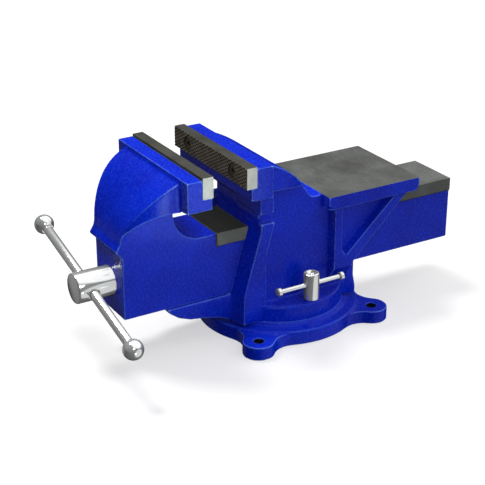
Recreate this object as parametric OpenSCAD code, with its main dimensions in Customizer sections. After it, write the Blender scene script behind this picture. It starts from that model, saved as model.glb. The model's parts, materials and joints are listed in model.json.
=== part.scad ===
// Six-inch swivel bench vise: cast swivel base, cast fixed jaw body with an anvil, cast sliding jaw
// on a channel-section beam, a screw with a sliding handle, and two swivel lock bolts with cross bars.
// Origin: the swivel axis on the underside of the base. +Z is up, -Y is the handle end, X is along
// the jaws.

/* [Jaws] */
// Length of each jaw along X
jaw_width = 150; // [140:1:160]
// Height of each steel jaw plate
plate_height = 22.3; // [20:0.1:24]
// Thickness of each steel jaw plate
plate_thickness = 12; // [11:0.1:12]
// Gap between the two jaw plates
jaw_gap = 37.2; // [5:0.1:60]
// Height of the jaw plates' top edge above the bench
jaw_top = 206; // [204:0.5:210]

/* [Beam and screw] */
// Width of the sliding beam below its flange
beam_width = 62.2; // [60:0.1:63]
// Width of the machined flange on top of the beam
flange_width = 64.8; // [64:0.1:66]
// Length of the beam from its front face to its rear end
beam_length = 410; // [380:1:420]
// Height of the screw's axis above the bench
screw_z = 84.5; // [82:0.1:86]
// Diameter of the screw's thread
screw_dia = 22; // [20:0.5:24]
// Diameter of the screw's head
head_dia = 32; // [30:0.5:34]

/* [Handle] */
// Distance between the centres of the two handle balls
handle_span = 213.4; // [180:1:240]
// Diameter of the handle bar
handle_dia = 10; // [8:0.5:11]
// Diameter of each handle ball
ball_dia = 21; // [18:0.5:24]
// Turn of the handle about the screw, in degrees
handle_turn = 14.4; // [-40:0.1:40]
// Distance that the bar is slid through the head
handle_shift = -2.8; // [-60:1:60]

/* [Base] */
// Radius of the round part of the base
base_radius = 88; // [86:0.5:90]
// Turn of the base under the body, in degrees
base_turn = 2.7; // [-45:0.1:45]
// Side of the square that the four bench bolts stand on
bolt_square = 148.2; // [146:0.2:152]
// Diameter of the four bench bolt holes
bolt_hole = 11; // [9:0.5:13]
// Radius of the turning foot under the body
foot_radius = 71.6; // [70:0.2:73]

/* [Hidden] */

enamel = [0.04, 0.10, 0.62];
machined = [0.33, 0.33, 0.31];
steel = [0.78, 0.79, 0.78];
dark_steel = [0.22, 0.21, 0.20];

$fn = 96;
eps = 0.01;
run_gap = 0.05;       // radial clearance of a turning or sliding shaft
slide_gap = 0.3;      // clearance between flat sliding faces
crossing = 0.02;      // lets a blend's arc cross what it runs into, where exact tangents leave slivers

// Heights
base_top = 16.2;
seat_top = 19.5;      // raised ring that the foot turns on
foot_top = 37.3;
beam_bottom = 51.4;
flange_bottom = 109.4;
beam_top = 123.7;
throat_floor = 122.5;
anvil_bottom = 131.4;
anvil_top = 146;
bar_top = jaw_top - 2.4;
plate_bottom = jaw_top - plate_height;
bar_bottom = jaw_top - 32.9;
fixed_bar_bottom = jaw_top - 35.6;

// Places along Y, from the gripping faces
fixed_face = -83.5;
moving_face = fixed_face - jaw_gap;
beam_front = moving_face - 79.5;
beam_rear = beam_front + beam_length;
flange_front = moving_face + 27.2;
bar_front = moving_face - 28.9;
neck_rear = moving_face - 21.8;
head_length = 40.5;
head_front = beam_front - head_length;
handle_y = head_front + 15.7;
body_front = -50.7;
fixed_bar_rear = -52.3;
anvil_front = 27.9;
anvil_rear = 145.2;
gusset_front = 37.5;
body_rear = 62;

// Half widths along X
beam_half = beam_width / 2;
flange_half = flange_width / 2;
cavity_half = 21;     // inside the beam
body_half = 43;       // side plates of the body
column_half = 52;     // raised strip along the body's front edge
rib_half = 55;        // gusset ribs
anvil_half = 57.6;

// Sliding jaw's front dome
dome_r = 82.2;
dome_z = 122;
beam_wall_front = 15;

// Plate screws
plate_screw_x = jaw_width * 0.307;
plate_screw_dia = 8;
plate_head_dia = 15;
plate_screw_z = jaw_top - plate_height / 2;
tapped_depth = 13;

// Swivel lock
lock_x = 60.5;
lock_y = 5;
lock_ring_r = norm([lock_x, lock_y]);
lock_head_dia = 17;
lock_head_height = 30.2;
lock_shank_dia = 10;
lock_bar_z = 54;
lock_bar_dia = 5;
lock_bar_length = 84;
lock_cap_length = 5;
lock_cap_dia = 9;
slot_half = 5.7;
slot_floor = 5;
slot_ceiling = 12.5;
slot_inner = 51;
slot_outer = 71.6;
slot_entry_dia = 18;

// Pivot
pivot_dia = 16;
pivot_flats = 24;
pivot_floor = 33;     // floor of the pocket round the pivot nut

// ---------------------------------------------------------------- helpers

// Extrudes a side-view outline (x is Y, y is Z) to a half width on both sides of X = 0
module along_x(half) rotate([90, 0, 90]) translate([0, 0, -half]) linear_extrude(2 * half) children();

// Extrudes a front-view outline (x is X, y is Z) from y0 to y1
module along_y(y0, y1) translate([0, y1, 0]) rotate([90, 0, 0]) linear_extrude(y1 - y0) children();

// Box from its low corner to its high corner
module box(low, high) translate(low) cube(high - low);

// Round bar along Y
module rod_y(dia, y0, y1) translate([0, y0, 0]) rotate([-90, 0, 0]) cylinder(d = dia, h = y1 - y0);

// Round bar with chamfered ends, standing on Z = 0
module chamfered_rod(dia, height, low, high) rotate_extrude()
  polygon([[0, 0], [dia / 2 - low, 0], [dia / 2, low], [dia / 2, height - high],
           [dia / 2 - high, height], [0, height]]);

// Hexagonal prism of a given size across its flats
module hex(flats, height) cylinder(d = flats / cos(30), h = height, $fn = 6);

// The same thing on the right and the left
module both_sides() { children(); mirror([1, 0, 0]) children(); }

// ---------------------------------------------------------------- base and pivot

lug_r = 17;
lug_blend = 24;
lug_distance = bolt_square / sqrt(2);
lug_thickness = 14.6;
lug_turns = [for (i = [0:3]) 45 + 90 * i + base_turn];

// One lug with a concave blend on each side into the disc
module lug_outline() {
  a = base_radius + lug_blend;
  b = lug_r + lug_blend;
  turn = acos((lug_distance ^ 2 + a ^ 2 - b ^ 2) / (2 * lug_distance * a));
  blend_centre = [a * cos(turn), a * sin(turn)];
  translate([lug_distance, 0]) circle(r = lug_r);
  difference() {
    polygon([[0, 0], [blend_centre.x, -blend_centre.y], [lug_distance, 0], blend_centre]);
    for (s = [-1, 1]) translate([blend_centre.x, s * blend_centre.y]) circle(r = lug_blend + crossing);
  }
}

module swivel_base() color(enamel) difference() {
  union() {
    for (turn = lug_turns) rotate(turn) linear_extrude(lug_thickness) lug_outline();
    chamfered_rod(2 * base_radius, base_top, 0.6, 1.2);
    chamfered_rod(2 * (foot_radius + 1.6), seat_top, 0.5, 0.8);
  }
  // circular T slot for the two clamp nuts
  rotate_extrude() {
    translate([slot_inner, slot_floor]) square([slot_outer - slot_inner, slot_ceiling - slot_floor]);
    translate([lock_ring_r - slot_half, slot_ceiling - 1]) square([2 * slot_half, 20]);
  }
  // hole in the slot's floor, where the clamp nuts go in
  rotate(90) translate([lock_ring_r + 1, 0, -1]) cylinder(d = slot_entry_dia, h = slot_floor + 2);
  // pivot bolt, with its head in a hexagonal recess underneath
  translate([0, 0, -1]) cylinder(d = pivot_dia + 0.6, h = 30);
  translate([0, 0, -1]) hex(pivot_flats + 0.6, 12);
  for (turn = lug_turns) rotate(turn) translate([lug_distance, 0, -1]) cylinder(d = bolt_hole, h = 30);
}

module pivot_bolt() color(dark_steel) {
  translate([0, 0, 1]) hex(pivot_flats, 10);
  translate([0, 0, 11 - eps]) chamfered_rod(pivot_dia, 40 + eps, eps, 1.5);
}

module pivot_washer() color(steel) translate([0, 0, pivot_floor]) difference() {
  chamfered_rod(32, 3, 0.4, 0.4);
  translate([0, 0, -1]) cylinder(d = pivot_dia + 0.8, h = 5);
}

module pivot_nut() color(steel) translate([0, 0, pivot_floor + 3]) difference() {
  intersection() {
    hex(pivot_flats, 13);
    chamfered_rod(pivot_flats / cos(30) + 0.4, 13, 1.6, 1.6);
  }
  translate([0, 0, -1]) cylinder(d = pivot_dia + 2 * run_gap, h = 15);
}

// ---------------------------------------------------------------- fixed jaw body

shoulder_centre = [-91.4, 85.5];
shoulder_r = 121;
roof_z = anvil_top - 1;
rib_width = 11;
column_gap = [131, 142];         // between the two lengths of the strip on the right
left_column_gap = [135.4, 149];  // and on the left
front_wall_out = 6.3;            // the front wall stands forward of the strips next to the beam

// Side view of the body between its side plates' outer faces
module body_outline() polygon([
  [-71.6, seat_top], [-71, 51.7], [-69.1, 59.9], [body_front, 127], [body_front, 145],
  [fixed_bar_rear, fixed_bar_bottom + 1], [-25, fixed_bar_bottom + 1], [0, roof_z], [135, roof_z],
  [131.5, anvil_bottom], [72, 73.5], [72, 42], [75, 28], [75, seat_top]
]);

// Side view of the raised strip along a front edge. A gap splits it below the jaw bar
module column_outline(gap) {
  polygon([[-71.6, seat_top], [-71, 51.7], [-69.1, 59.9], [-52.6, 122], [body_front - 1.3, gap.x],
           [-36, gap.x], [-36.5, 127], [-55, 59.9], [-57, 51.7], [-57.5, seat_top]]);
  polygon([[fixed_bar_rear - 1, gap.y], [fixed_bar_rear - 1, fixed_bar_bottom + 1],
           [-38, fixed_bar_bottom + 1], [-37, gap.y]]);
}

// Front view of the strips: they stand out a little more towards the top
module column_front() polygon([
  [-column_half, 180], [-column_half, 115], [2 - column_half, 60], [2 - column_half, 0],
  [column_half - 2, 0], [column_half - 2, 60], [column_half, 115], [column_half, 180]
]);

// Front wall round the beam, a flat prow between the strips
module front_slice(x, out) translate([x, 0, 0]) rotate([90, 0, 90]) linear_extrude(0.1) polygon([
  [-71.6 - out, seat_top], [-71 - out, 51.7], [-69.1 - out, 59.9], [body_front - out, 127],
  [body_front - out + 2, 131], [-45, 131], [-45, seat_top]
]);

module front_wall() hull() both_sides() {
  front_slice(beam_half, front_wall_out);
  front_slice(body_half + 6.5, 0);
}

// Plan of the shoulder: it narrows in an arc from the jaw bar back to the side plates
module shoulder_plan() intersection_for(side = [-1, 1])
  translate([side * -51, fixed_bar_rear]) circle(r = 110, $fn = 240);

// Side view of the shoulder's round back, above a line
module shoulder_back(line) intersection() {
  translate(shoulder_centre) circle(r = shoulder_r, $fn = 240);
  polygon(concat(line, [[line[len(line) - 1].x, 201.4], [line[0].x, 201.4]]));
}

// Concave blend where the shoulder's back meets the roof before the anvil
module roof_blend() {
  blend_r = 11;
  blend_z = roof_z + blend_r;
  blend_y = shoulder_centre.x + sqrt((shoulder_r + blend_r) ^ 2 - (blend_z - shoulder_centre.y) ^ 2);
  share = shoulder_r / (shoulder_r + blend_r);
  touch = shoulder_centre + share * ([blend_y, blend_z] - shoulder_centre);
  difference() {
    polygon([[0, roof_z - 2], [blend_y, roof_z - 2], [blend_y, blend_z], touch]);
    translate([blend_y, blend_z]) circle(r = blend_r + crossing);
  }
}

module shoulder() {
  start = fixed_bar_rear - 0.5;
  intersection() {
    linear_extrude(250) shoulder_plan();
    along_x(60) shoulder_back([[start, 168.5], [-30, 167], [12, 159]]);
  }
  along_x(body_half) {
    shoulder_back([[start + 5, 135], [60, 135]]);
    roof_blend();
  }
}

// Gusset ribs: an upright and a slope that carry the anvil's overhang
module rib_outline() difference() {
  inner = gusset_front + 10;
  lift = rib_width / cos(44.2);
  polygon([[gusset_front, foot_top - 1], [gusset_front, anvil_bottom + 1], [132.5, anvil_bottom + 1],
           [131.5, anvil_bottom], [body_rear, 63.7], [body_rear, foot_top - 1]]);
  polygon([[inner, 66 + lift], [inner, anvil_bottom], [131.5 - lift * 1.03, anvil_bottom],
           [inner + 5, 58 + lift]]);
}

// Front view of the ribs: their feet run in to the side plates
module rib_front() polygon([[-rib_half, 140], [-rib_half, 60], [-body_half, 44], [body_half, 44],
                            [rib_half, 60], [rib_half, 140]]);

// Nose under the beam, in front of the body
module nose_outline() polygon([
  [-151, beam_bottom - slide_gap], [-152, 50], [-150, 46.5], [-139, 38.5], [-126, 33.5], [-110, 31],
  [-92, 27], [-80, 22], [-70, seat_top], [-40, seat_top], [-40, beam_bottom - slide_gap]
]);

module anvil_block() {
  corner = 4;
  for (x = [corner - anvil_half, anvil_half - corner], y = [anvil_front + corner, anvil_rear - corner])
    translate([x, y, anvil_bottom]) cylinder(r = corner, h = anvil_top - anvil_bottom);
  box([-anvil_half, anvil_front + corner, anvil_bottom], [anvil_half, anvil_rear - corner, anvil_top]);
  box([corner - anvil_half, anvil_front, anvil_bottom], [anvil_half - corner, anvil_rear, anvil_top]);
}

// Jaw bar with a rabbet for its plate; front is the side with the plate, low is the bar's underside
module bar_outline(seat, lip, back, low) polygon([
  [back, low], [lip, low], [lip, plate_bottom], [seat, plate_bottom], [seat, bar_top], [back, bar_top]
]);

// Holes for the two plate screws, from the face to a signed depth
module plate_screw_holes(face, depth, dia) for (x = [-plate_screw_x, plate_screw_x])
  translate([x, 0, plate_screw_z]) rod_y(dia, min(face, face + depth), max(face, face + depth));

module beam_channel() {
  box([-beam_half - slide_gap, -200, beam_bottom - slide_gap],
      [beam_half + slide_gap, 200, flange_bottom + 1]);
  box([-flange_half - slide_gap, -200, flange_bottom - slide_gap],
      [flange_half + slide_gap, 200, beam_top + slide_gap]);
}

nut_floor = 45;
nut_front = -60;
nut_rear = -22;
nut_bolt_y = (nut_front + nut_rear) / 2;

module fixed_jaw_body() color(enamel) difference() {
  union() {
    translate([0, 0, seat_top]) chamfered_rod(2 * foot_radius, foot_top - seat_top, 0.5, 1.8);
    along_x(body_half) body_outline();
    intersection() {
      union() {
        rotate([90, 0, 90]) linear_extrude(column_half) column_outline(column_gap);
        mirror([1, 0, 0]) rotate([90, 0, 90]) linear_extrude(column_half) column_outline(left_column_gap);
      }
      along_y(-80, -30) column_front();
    }
    front_wall();
    intersection() {
      along_x(rib_half) rib_outline();
      along_y(0, anvil_rear) rib_front();
    }
    along_x(beam_half + 1.9) nose_outline();
    anvil_block();
    shoulder();
    along_x(jaw_width / 2)
      bar_outline(fixed_face + plate_thickness + 0.2, fixed_face + 5.9, fixed_bar_rear, fixed_bar_bottom);
  }
  beam_channel();
  // pockets in the channel's floor, for the nut and for the pivot nut
  box([-19, nut_front - 1, nut_floor], [19, -17, beam_bottom]);
  box([-19, -20, pivot_floor], [19, 24, beam_bottom]);
  translate([0, 0, 10]) cylinder(d = pivot_dia + 2 * run_gap, h = 40);
  // bolt that holds the nut, from below
  translate([0, nut_bolt_y, seat_top - 1]) cylinder(d = 17, h = 11);
  translate([0, nut_bolt_y, seat_top]) cylinder(d = 11, h = 40);
  both_sides() translate([lock_x, lock_y, 10]) cylinder(d = lock_shank_dia + 2 * run_gap, h = 40);
  plate_screw_holes(fixed_face + plate_thickness, tapped_depth, plate_screw_dia);
}

// ---------------------------------------------------------------- jaw plates and their screws

// face is the gripping face's place along Y; out is +1 when the plate backs away towards +Y
module jaw_plate(face, out) difference() {
  y0 = min(face, face + out * plate_thickness);
  y1 = y0 + plate_thickness;
  box([-jaw_width / 2, y0, plate_bottom], [jaw_width / 2, y1, jaw_top]);
  plate_screw_holes(face, out * plate_thickness, plate_screw_dia + 1);
  plate_screw_holes(face - out, out * (1 + 6), plate_head_dia);
}

// Socket head screws: head in the plate's counterbore, shank in the jaw
module plate_screws(face, out) for (x = [-plate_screw_x, plate_screw_x])
  translate([x, face + out * 6, plate_screw_z]) rotate([-90 * out, 0, 0]) difference() {
    union() {
      translate([0, 0, -5]) chamfered_rod(plate_head_dia - 1, 5, 0.6, 0.2);
      translate([0, 0, -eps]) chamfered_rod(plate_screw_dia - 0.1, plate_thickness + 6, eps, 1);
    }
    translate([0, 0, -6]) hex(6, 4.5);
  }

module fixed_jaw_plate() color(machined) jaw_plate(fixed_face, 1);
module fixed_jaw_screws() color(dark_steel) plate_screws(fixed_face, 1);
module sliding_jaw_plate() color(machined) jaw_plate(moving_face, -1);
module sliding_jaw_screws() color(dark_steel) plate_screws(moving_face, -1);

// ---------------------------------------------------------------- nut for the screw

module screw_nut() color(dark_steel) difference() {
  union() {
    box([-17, nut_front, nut_floor], [17, nut_rear, screw_z]);
    translate([0, 0, screw_z]) rod_y(34, nut_front, nut_rear);
  }
  translate([0, 0, screw_z]) rod_y(screw_dia + 2 * run_gap, nut_front - 1, nut_rear + 1);
  translate([0, nut_bolt_y, nut_floor - 1]) cylinder(d = 10, h = 20);
}

module screw_nut_bolt() color(steel) translate([0, nut_bolt_y, 0]) difference() {
  union() {
    translate([0, 0, seat_top + 0.5]) chamfered_rod(16, 9.5, 0.8, eps);
    translate([0, 0, seat_top + 10 - eps]) chamfered_rod(9.9, 32, eps, 1);
  }
  translate([0, 0, seat_top]) hex(8, 5.5);
}

// ---------------------------------------------------------------- swivel locks

module clamp_nut() color(dark_steel) difference() {
  box([lock_x - 8.5, lock_y - 13, slot_floor + 0.4], [lock_x + 8.5, lock_y + 13, slot_ceiling - 0.3]);
  translate([lock_x, lock_y, 0]) cylinder(d = lock_shank_dia + 2 * run_gap, h = 20);
}

module lock_bolt() color(steel) translate([lock_x, lock_y, 0]) difference() {
  union() {
    translate([0, 0, foot_top]) chamfered_rod(lock_head_dia, lock_head_height, 0.8, 1.6);
    translate([0, 0, slot_floor + 1]) chamfered_rod(lock_shank_dia, foot_top - slot_floor, 1, eps);
  }
  // cup in the top of the head
  translate([0, 0, foot_top + lock_head_height]) rotate_extrude()
    polygon([[0, -1.2], [1.2, -2.6], [3.6, -2.6], [5.4, 0], [5.4, 1], [0, 1]]);
  translate([0, 0, lock_bar_z]) rod_y(lock_bar_dia + 2 * run_gap, -20, 20);
}

bar_body = lock_bar_length - 2 * (lock_cap_length - 3);
bar_middle = [lock_x, lock_y - 1, lock_bar_z];

module lock_bar() color(steel) translate(bar_middle)
  rod_y(lock_bar_dia, -bar_body / 2, bar_body / 2);

module lock_bar_caps() color(steel) translate(bar_middle)
  for (flip = [0, 180]) rotate(flip) translate([0, lock_bar_length / 2 - lock_cap_length, 0])
    rotate([-90, 0, 0]) difference() {
      chamfered_rod(lock_cap_dia, lock_cap_length, 0.5, 1.6);
      translate([0, 0, -1]) cylinder(d = lock_bar_dia, h = 4);
    }

module clamp_nut_right() clamp_nut();
module clamp_nut_left() mirror([1, 0, 0]) clamp_nut();
module lock_bolt_right() lock_bolt();
module lock_bolt_left() mirror([1, 0, 0]) lock_bolt();
module lock_bar_right() lock_bar();
module lock_bar_left() mirror([1, 0, 0]) lock_bar();
module lock_bar_caps_right() lock_bar_caps();
module lock_bar_caps_left() mirror([1, 0, 0]) lock_bar_caps();

// ---------------------------------------------------------------- sliding jaw

throat_r = 32;
hollow_centre = [moving_face - 36.3, 121];
hollow_r = 48;
wing_r = 60;

module dome_disc() translate([moving_face - 0.3, dome_z]) circle(r = dome_r, $fn = 240);

// Side view of the beam, the neck, the ledge and the round throat, all as wide as the beam
module neck_outline() {
  translate([beam_front, beam_bottom]) square([beam_length, throat_floor - beam_bottom]);
  intersection() {
    dome_disc();
    union() {
      translate([beam_front - 5, 130]) square([neck_rear - beam_front + 5, 75]);
      translate([beam_front + 5, 110]) square([neck_rear - beam_front - 5, 75]);
    }
  }
  polygon([[beam_front, 120.5], [beam_front - 6.8, 127.4], [beam_front - 3, 133.5],
           [beam_front + 12, 133.5], [beam_front + 12, 120.5]]);
  difference() {
    translate([neck_rear - 1, throat_floor - 1]) square([throat_r + 1, throat_r + 1]);
    translate([neck_rear + throat_r, throat_floor + throat_r]) circle(r = throat_r, $fn = 160);
  }
}

// Side view of the wings: the shell between the dome and the hollow under it
module wing_outline() difference() {
  intersection() {
    dome_disc();
    translate([beam_front - 5, 132]) square([bar_front - beam_front + 6, 75]);
  }
  translate(hollow_centre) circle(r = hollow_r, $fn = 160);
}

module sliding_jaw() color(enamel) difference() {
  union() {
    along_x(beam_half) neck_outline();
    box([-flange_half, flange_front, flange_bottom], [flange_half, beam_rear, beam_top]);
    intersection() {
      along_x(62) wing_outline();
      translate([0, bar_front, 0]) cylinder(r = wing_r, h = 250, $fn = 240);
    }
    along_x(jaw_width / 2)
      bar_outline(moving_face - plate_thickness - 0.2, moving_face - 2.7, bar_front, bar_bottom);
  }
  // inside of the beam, open below and behind
  box([-cavity_half, beam_front + beam_wall_front, beam_bottom - 1], [cavity_half, beam_rear + 1, 108]);
  translate([0, 0, screw_z]) rod_y(screw_dia + 2 * run_gap, beam_front - 1, beam_front + 30);
  plate_screw_holes(moving_face - plate_thickness, -tapped_depth, plate_screw_dia);
}

// ---------------------------------------------------------------- screw, spring and handle

wall_inside = beam_front + beam_wall_front;
spring_length = 16;
spring_wire = 2.6;
spring_radius = 14.5;
washer_y = wall_inside + spring_length + 0.3;
washer_thickness = 3;
pin_dia = 4;
pin_y = washer_y + washer_thickness + pin_dia / 2;
screw_rear = 105;

module lead_screw() color(steel) difference() {
  translate([0, 0, screw_z]) {
    translate([0, head_front, 0]) rotate([-90, 0, 0]) chamfered_rod(head_dia, head_length, 1.2, 0.8);
    translate([0, beam_front - eps, 0]) rotate([-90, 0, 0])
      chamfered_rod(screw_dia, screw_rear - beam_front, eps, 2);
  }
  translate([0, handle_y, screw_z]) rotate([0, handle_turn, 0])
    rotate([0, 90, 0]) translate([0, 0, -30]) cylinder(d = handle_dia + 2 * run_gap, h = 60);
  translate([-20, pin_y, screw_z]) rotate([0, 90, 0]) cylinder(d = pin_dia, h = 40);
}

spring_turns = 4;
ring_steps = 16;
wire_sides = 8;

// Coil spring round the screw, swept as rings of wire_sides points along a helix
module thrust_spring() color(dark_steel) {
  rings = spring_turns * ring_steps;
  pitch = (spring_length - spring_wire - 0.2) / spring_turns;
  points = [for (i = [0:rings], k = [0:wire_sides - 1])
    let (a = 360 * i / ring_steps, b = 360 * k / wire_sides,
         r = spring_radius + spring_wire / 2 * cos(b))
    [r * cos(a), wall_inside + 0.1 + spring_wire / 2 + pitch * i / ring_steps + spring_wire / 2 * sin(b),
     screw_z + r * sin(a)]];
  sides = [for (i = [0:rings - 1], k = [0:wire_sides - 1])
    let (n = (k + 1) % wire_sides)
    [i * wire_sides + k, i * wire_sides + n, (i + 1) * wire_sides + n, (i + 1) * wire_sides + k]];
  caps = [[for (k = [wire_sides - 1:-1:0]) k], [for (k = [0:wire_sides - 1]) rings * wire_sides + k]];
  polyhedron(points, concat(sides, caps), convexity = 8);
}

module spring_washer() color(steel) translate([0, washer_y, screw_z]) rotate([-90, 0, 0]) difference() {
  chamfered_rod(34, washer_thickness, 0.4, 0.4);
  translate([0, 0, -1]) cylinder(d = screw_dia + 1, h = 5);
}

module retaining_pin() color(steel) translate([-15, pin_y, screw_z]) rotate([0, 90, 0])
  chamfered_rod(pin_dia, 30, 0.6, 0.6);

// Puts children drawn along Z on the handle's axis, with Z pointing to the lower right
module on_handle() translate([0, handle_y, screw_z]) rotate([0, handle_turn, 0]) rotate([0, 90, 0])
  translate([0, 0, handle_shift]) children();

module handle_bar() color(steel) on_handle()
  translate([0, 0, -handle_span / 2]) cylinder(d = handle_dia, h = handle_span);

module handle_ball(end) color(steel) on_handle() translate([0, 0, end * handle_span / 2]) difference() {
  sphere(d = ball_dia);
  mirror([0, 0, end > 0 ? 1 : 0]) cylinder(d = handle_dia, h = ball_dia);
}

module handle_ball_right() handle_ball(1);
module handle_ball_left() handle_ball(-1);

swivel_base();
pivot_bolt();
pivot_washer();
pivot_nut();
fixed_jaw_body();
fixed_jaw_plate();
fixed_jaw_screws();
screw_nut();
screw_nut_bolt();
clamp_nut_right();
clamp_nut_left();
lock_bolt_right();
lock_bolt_left();
lock_bar_right();
lock_bar_left();
lock_bar_caps_right();
lock_bar_caps_left();
sliding_jaw();
sliding_jaw_plate();
sliding_jaw_screws();
thrust_spring();
lead_screw();
spring_washer();
retaining_pin();
handle_bar();
handle_ball_right();
handle_ball_left();
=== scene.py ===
"""Looks of the swivel bench vise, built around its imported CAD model. Lengths are in metres."""

import json
import math

import bmesh
import bpy
import numpy as np
from mathutils import Matrix, Vector


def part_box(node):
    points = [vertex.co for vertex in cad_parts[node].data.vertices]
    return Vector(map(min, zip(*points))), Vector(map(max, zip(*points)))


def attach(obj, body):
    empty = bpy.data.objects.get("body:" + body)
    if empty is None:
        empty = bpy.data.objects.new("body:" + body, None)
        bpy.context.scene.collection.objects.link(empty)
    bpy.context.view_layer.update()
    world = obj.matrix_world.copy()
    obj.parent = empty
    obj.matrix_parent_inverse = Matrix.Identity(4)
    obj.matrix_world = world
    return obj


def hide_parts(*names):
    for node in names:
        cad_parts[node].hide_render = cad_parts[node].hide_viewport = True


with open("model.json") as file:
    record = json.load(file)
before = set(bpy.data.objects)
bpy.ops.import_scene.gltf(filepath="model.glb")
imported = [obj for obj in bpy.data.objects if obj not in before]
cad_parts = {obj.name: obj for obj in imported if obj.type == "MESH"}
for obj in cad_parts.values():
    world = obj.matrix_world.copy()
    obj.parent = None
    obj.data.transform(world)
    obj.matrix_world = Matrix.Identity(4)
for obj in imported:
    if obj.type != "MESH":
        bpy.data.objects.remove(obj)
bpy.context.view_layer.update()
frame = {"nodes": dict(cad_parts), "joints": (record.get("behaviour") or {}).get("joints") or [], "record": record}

MM = 0.001
ENAMEL, MACHINED, PAINTED_SHADE, WAY, WAY_SIDE, FLAT_ENAMEL = range(6)      # material places on every casting

# ---------------------------------------------------------------- sizes and places, most from the frame

nodes = frame["nodes"]
mounts = {m["name"]: m for m in frame["record"]["mounts"]}
joints = {j["name"]: j for j in frame["joints"]}

beam_low, beam_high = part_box("sliding_jaw")
fixed_plate_low, fixed_plate_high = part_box("fixed_jaw_plate")
sliding_plate_low, sliding_plate_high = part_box("sliding_jaw_plate")
screw_low, screw_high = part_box("lead_screw")

anvil_top = mounts["anvil_face"]["pos_m"][2]
anvil_half = 57.6 * MM
anvil_front, anvil_rear = 27.9 * MM, 145.2 * MM
fixed_face = fixed_plate_low.y
moving_face = sliding_plate_high.y
beam_rear = beam_high.y
beam_front = moving_face - 79.5 * MM
beam_half = 31.1 * MM
beam_bottom = beam_low.z
flange_front = moving_face + 27.2 * MM
flange_half = 32.4 * MM
flange_bottom, flange_top = 109.4 * MM, 123.7 * MM
slide_gap = 0.3 * MM
jaw_top = fixed_plate_high.z
bar_end = 75 * MM                                   # half length of both jaw bars
bar_front, bar_bottom = moving_face - 28.9 * MM, jaw_top - 32.9 * MM
fixed_bar_rear, fixed_bar_bottom = -52.3 * MM, jaw_top - 35.6 * MM
foot_bottom = 19.5 * MM
foot_radius = 71.6 * MM
plate_gap = 0.2 * MM
plate_thickness = fixed_plate_high.y - fixed_plate_low.y
screw_r = 11 * MM
screw_z = joints["screw_spin"]["pos_m"][2]
lock_x, lock_y = joints["lock_right_turn"]["pos_m"][:2]
bolt_circle = mounts["bench_bolts"]["dims"]["pcd_mm"] * MM / 2
bolt_hole_r = mounts["bench_bolts"]["dims"]["hole_r_mm"] * MM
base_turn = math.radians(2.7)                       # the base's lugs stand this far off the diagonals
shade_start, shade_end = fixed_plate_high.y + 20 * MM, 160 * MM      # the painted shade on the way fades out between these


# ---------------------------------------------------------------- materials

# Near-black of the painted shade on the way's front, in the bolt holes and in strips by the flange
SHADE_BLACK = (0.006, 0.007, 0.006)
IRON_DARK, IRON_LIGHT = (0.135, 0.140, 0.132), (0.270, 0.280, 0.270)


def new_material(name, **sockets):
    """A Principled material, its nodes and its shader. Sockets are given by name, with _ for spaces."""
    material = bpy.data.materials.new(name)
    material.use_nodes = True
    tree = material.node_tree
    shader = tree.nodes["Principled BSDF"]
    for socket, value in sockets.items():
        shader.inputs[socket.replace("_", " ")].default_value = value
    return material, tree, shader


def place_node(tree):
    """Coordinates in the part's own frame."""
    return tree.nodes.new("ShaderNodeTexCoord").outputs["Object"]


def stretched(tree, vector, scale):
    """Scaled coordinates. A scale below 1 draws marks out along that axis."""
    mapping = tree.nodes.new("ShaderNodeMapping")
    mapping.inputs["Scale"].default_value = scale
    tree.links.new(vector, mapping.inputs["Vector"])
    return mapping.outputs["Vector"]


def noise(tree, vector, size, detail=3.0, rough=0.55):
    """Noise whose lumps are about size metres across."""
    node = tree.nodes.new("ShaderNodeTexNoise")
    node.inputs["Scale"].default_value = 1 / size
    node.inputs["Detail"].default_value = detail
    node.inputs["Roughness"].default_value = rough
    tree.links.new(vector, node.inputs["Vector"])
    return node.outputs["Fac"]


def ramp(tree, factor, *stops):
    """Colour or grey ramp. Each stop is (position, colour)."""
    node = tree.nodes.new("ShaderNodeValToRGB")
    elements = node.color_ramp.elements
    while len(elements) < len(stops):
        elements.new(0.5)
    for element, (position, colour) in zip(elements, stops):
        element.position = position
        element.color = (*colour, 1) if isinstance(colour, tuple) else (colour, colour, colour, 1)
    tree.links.new(factor, node.inputs["Fac"])
    return node.outputs["Color"]


def blend_colours(tree, factor, first, second):
    """Mix of two colours. Each may be a socket or a plain colour."""
    node = tree.nodes.new("ShaderNodeMix")
    node.data_type = "RGBA"
    tree.links.new(factor, node.inputs[0])
    for value, socket in ((first, node.inputs[6]), (second, node.inputs[7])):
        if isinstance(value, bpy.types.NodeSocket):
            tree.links.new(value, socket)
        else:
            socket.default_value = (*value, 1)
    return node.outputs[2]


def tint(tree, colour, factor, first_stop, last_stop, added):
    """Lays one more colour over a colour, as strongly as a grey ramp between the two stops says."""
    return blend_colours(tree, ramp(tree, factor, first_stop, last_stop), colour, added)


def connect(tree, shader, colour, roughness):
    tree.links.new(colour, shader.inputs["Base Color"])
    tree.links.new(roughness, shader.inputs["Roughness"])


def bump(tree, shader, *layers):
    """Chains bumps. Each layer is (height socket, depth in metres)."""
    normal = None
    for height, depth in layers:
        node = tree.nodes.new("ShaderNodeBump")
        node.inputs["Strength"].default_value = 1
        node.inputs["Distance"].default_value = depth
        tree.links.new(height, node.inputs["Height"])
        if normal is not None:
            tree.links.new(normal, node.inputs["Normal"])
        normal = node.outputs["Normal"]
    tree.links.new(normal, shader.inputs["Normal"])


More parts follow.
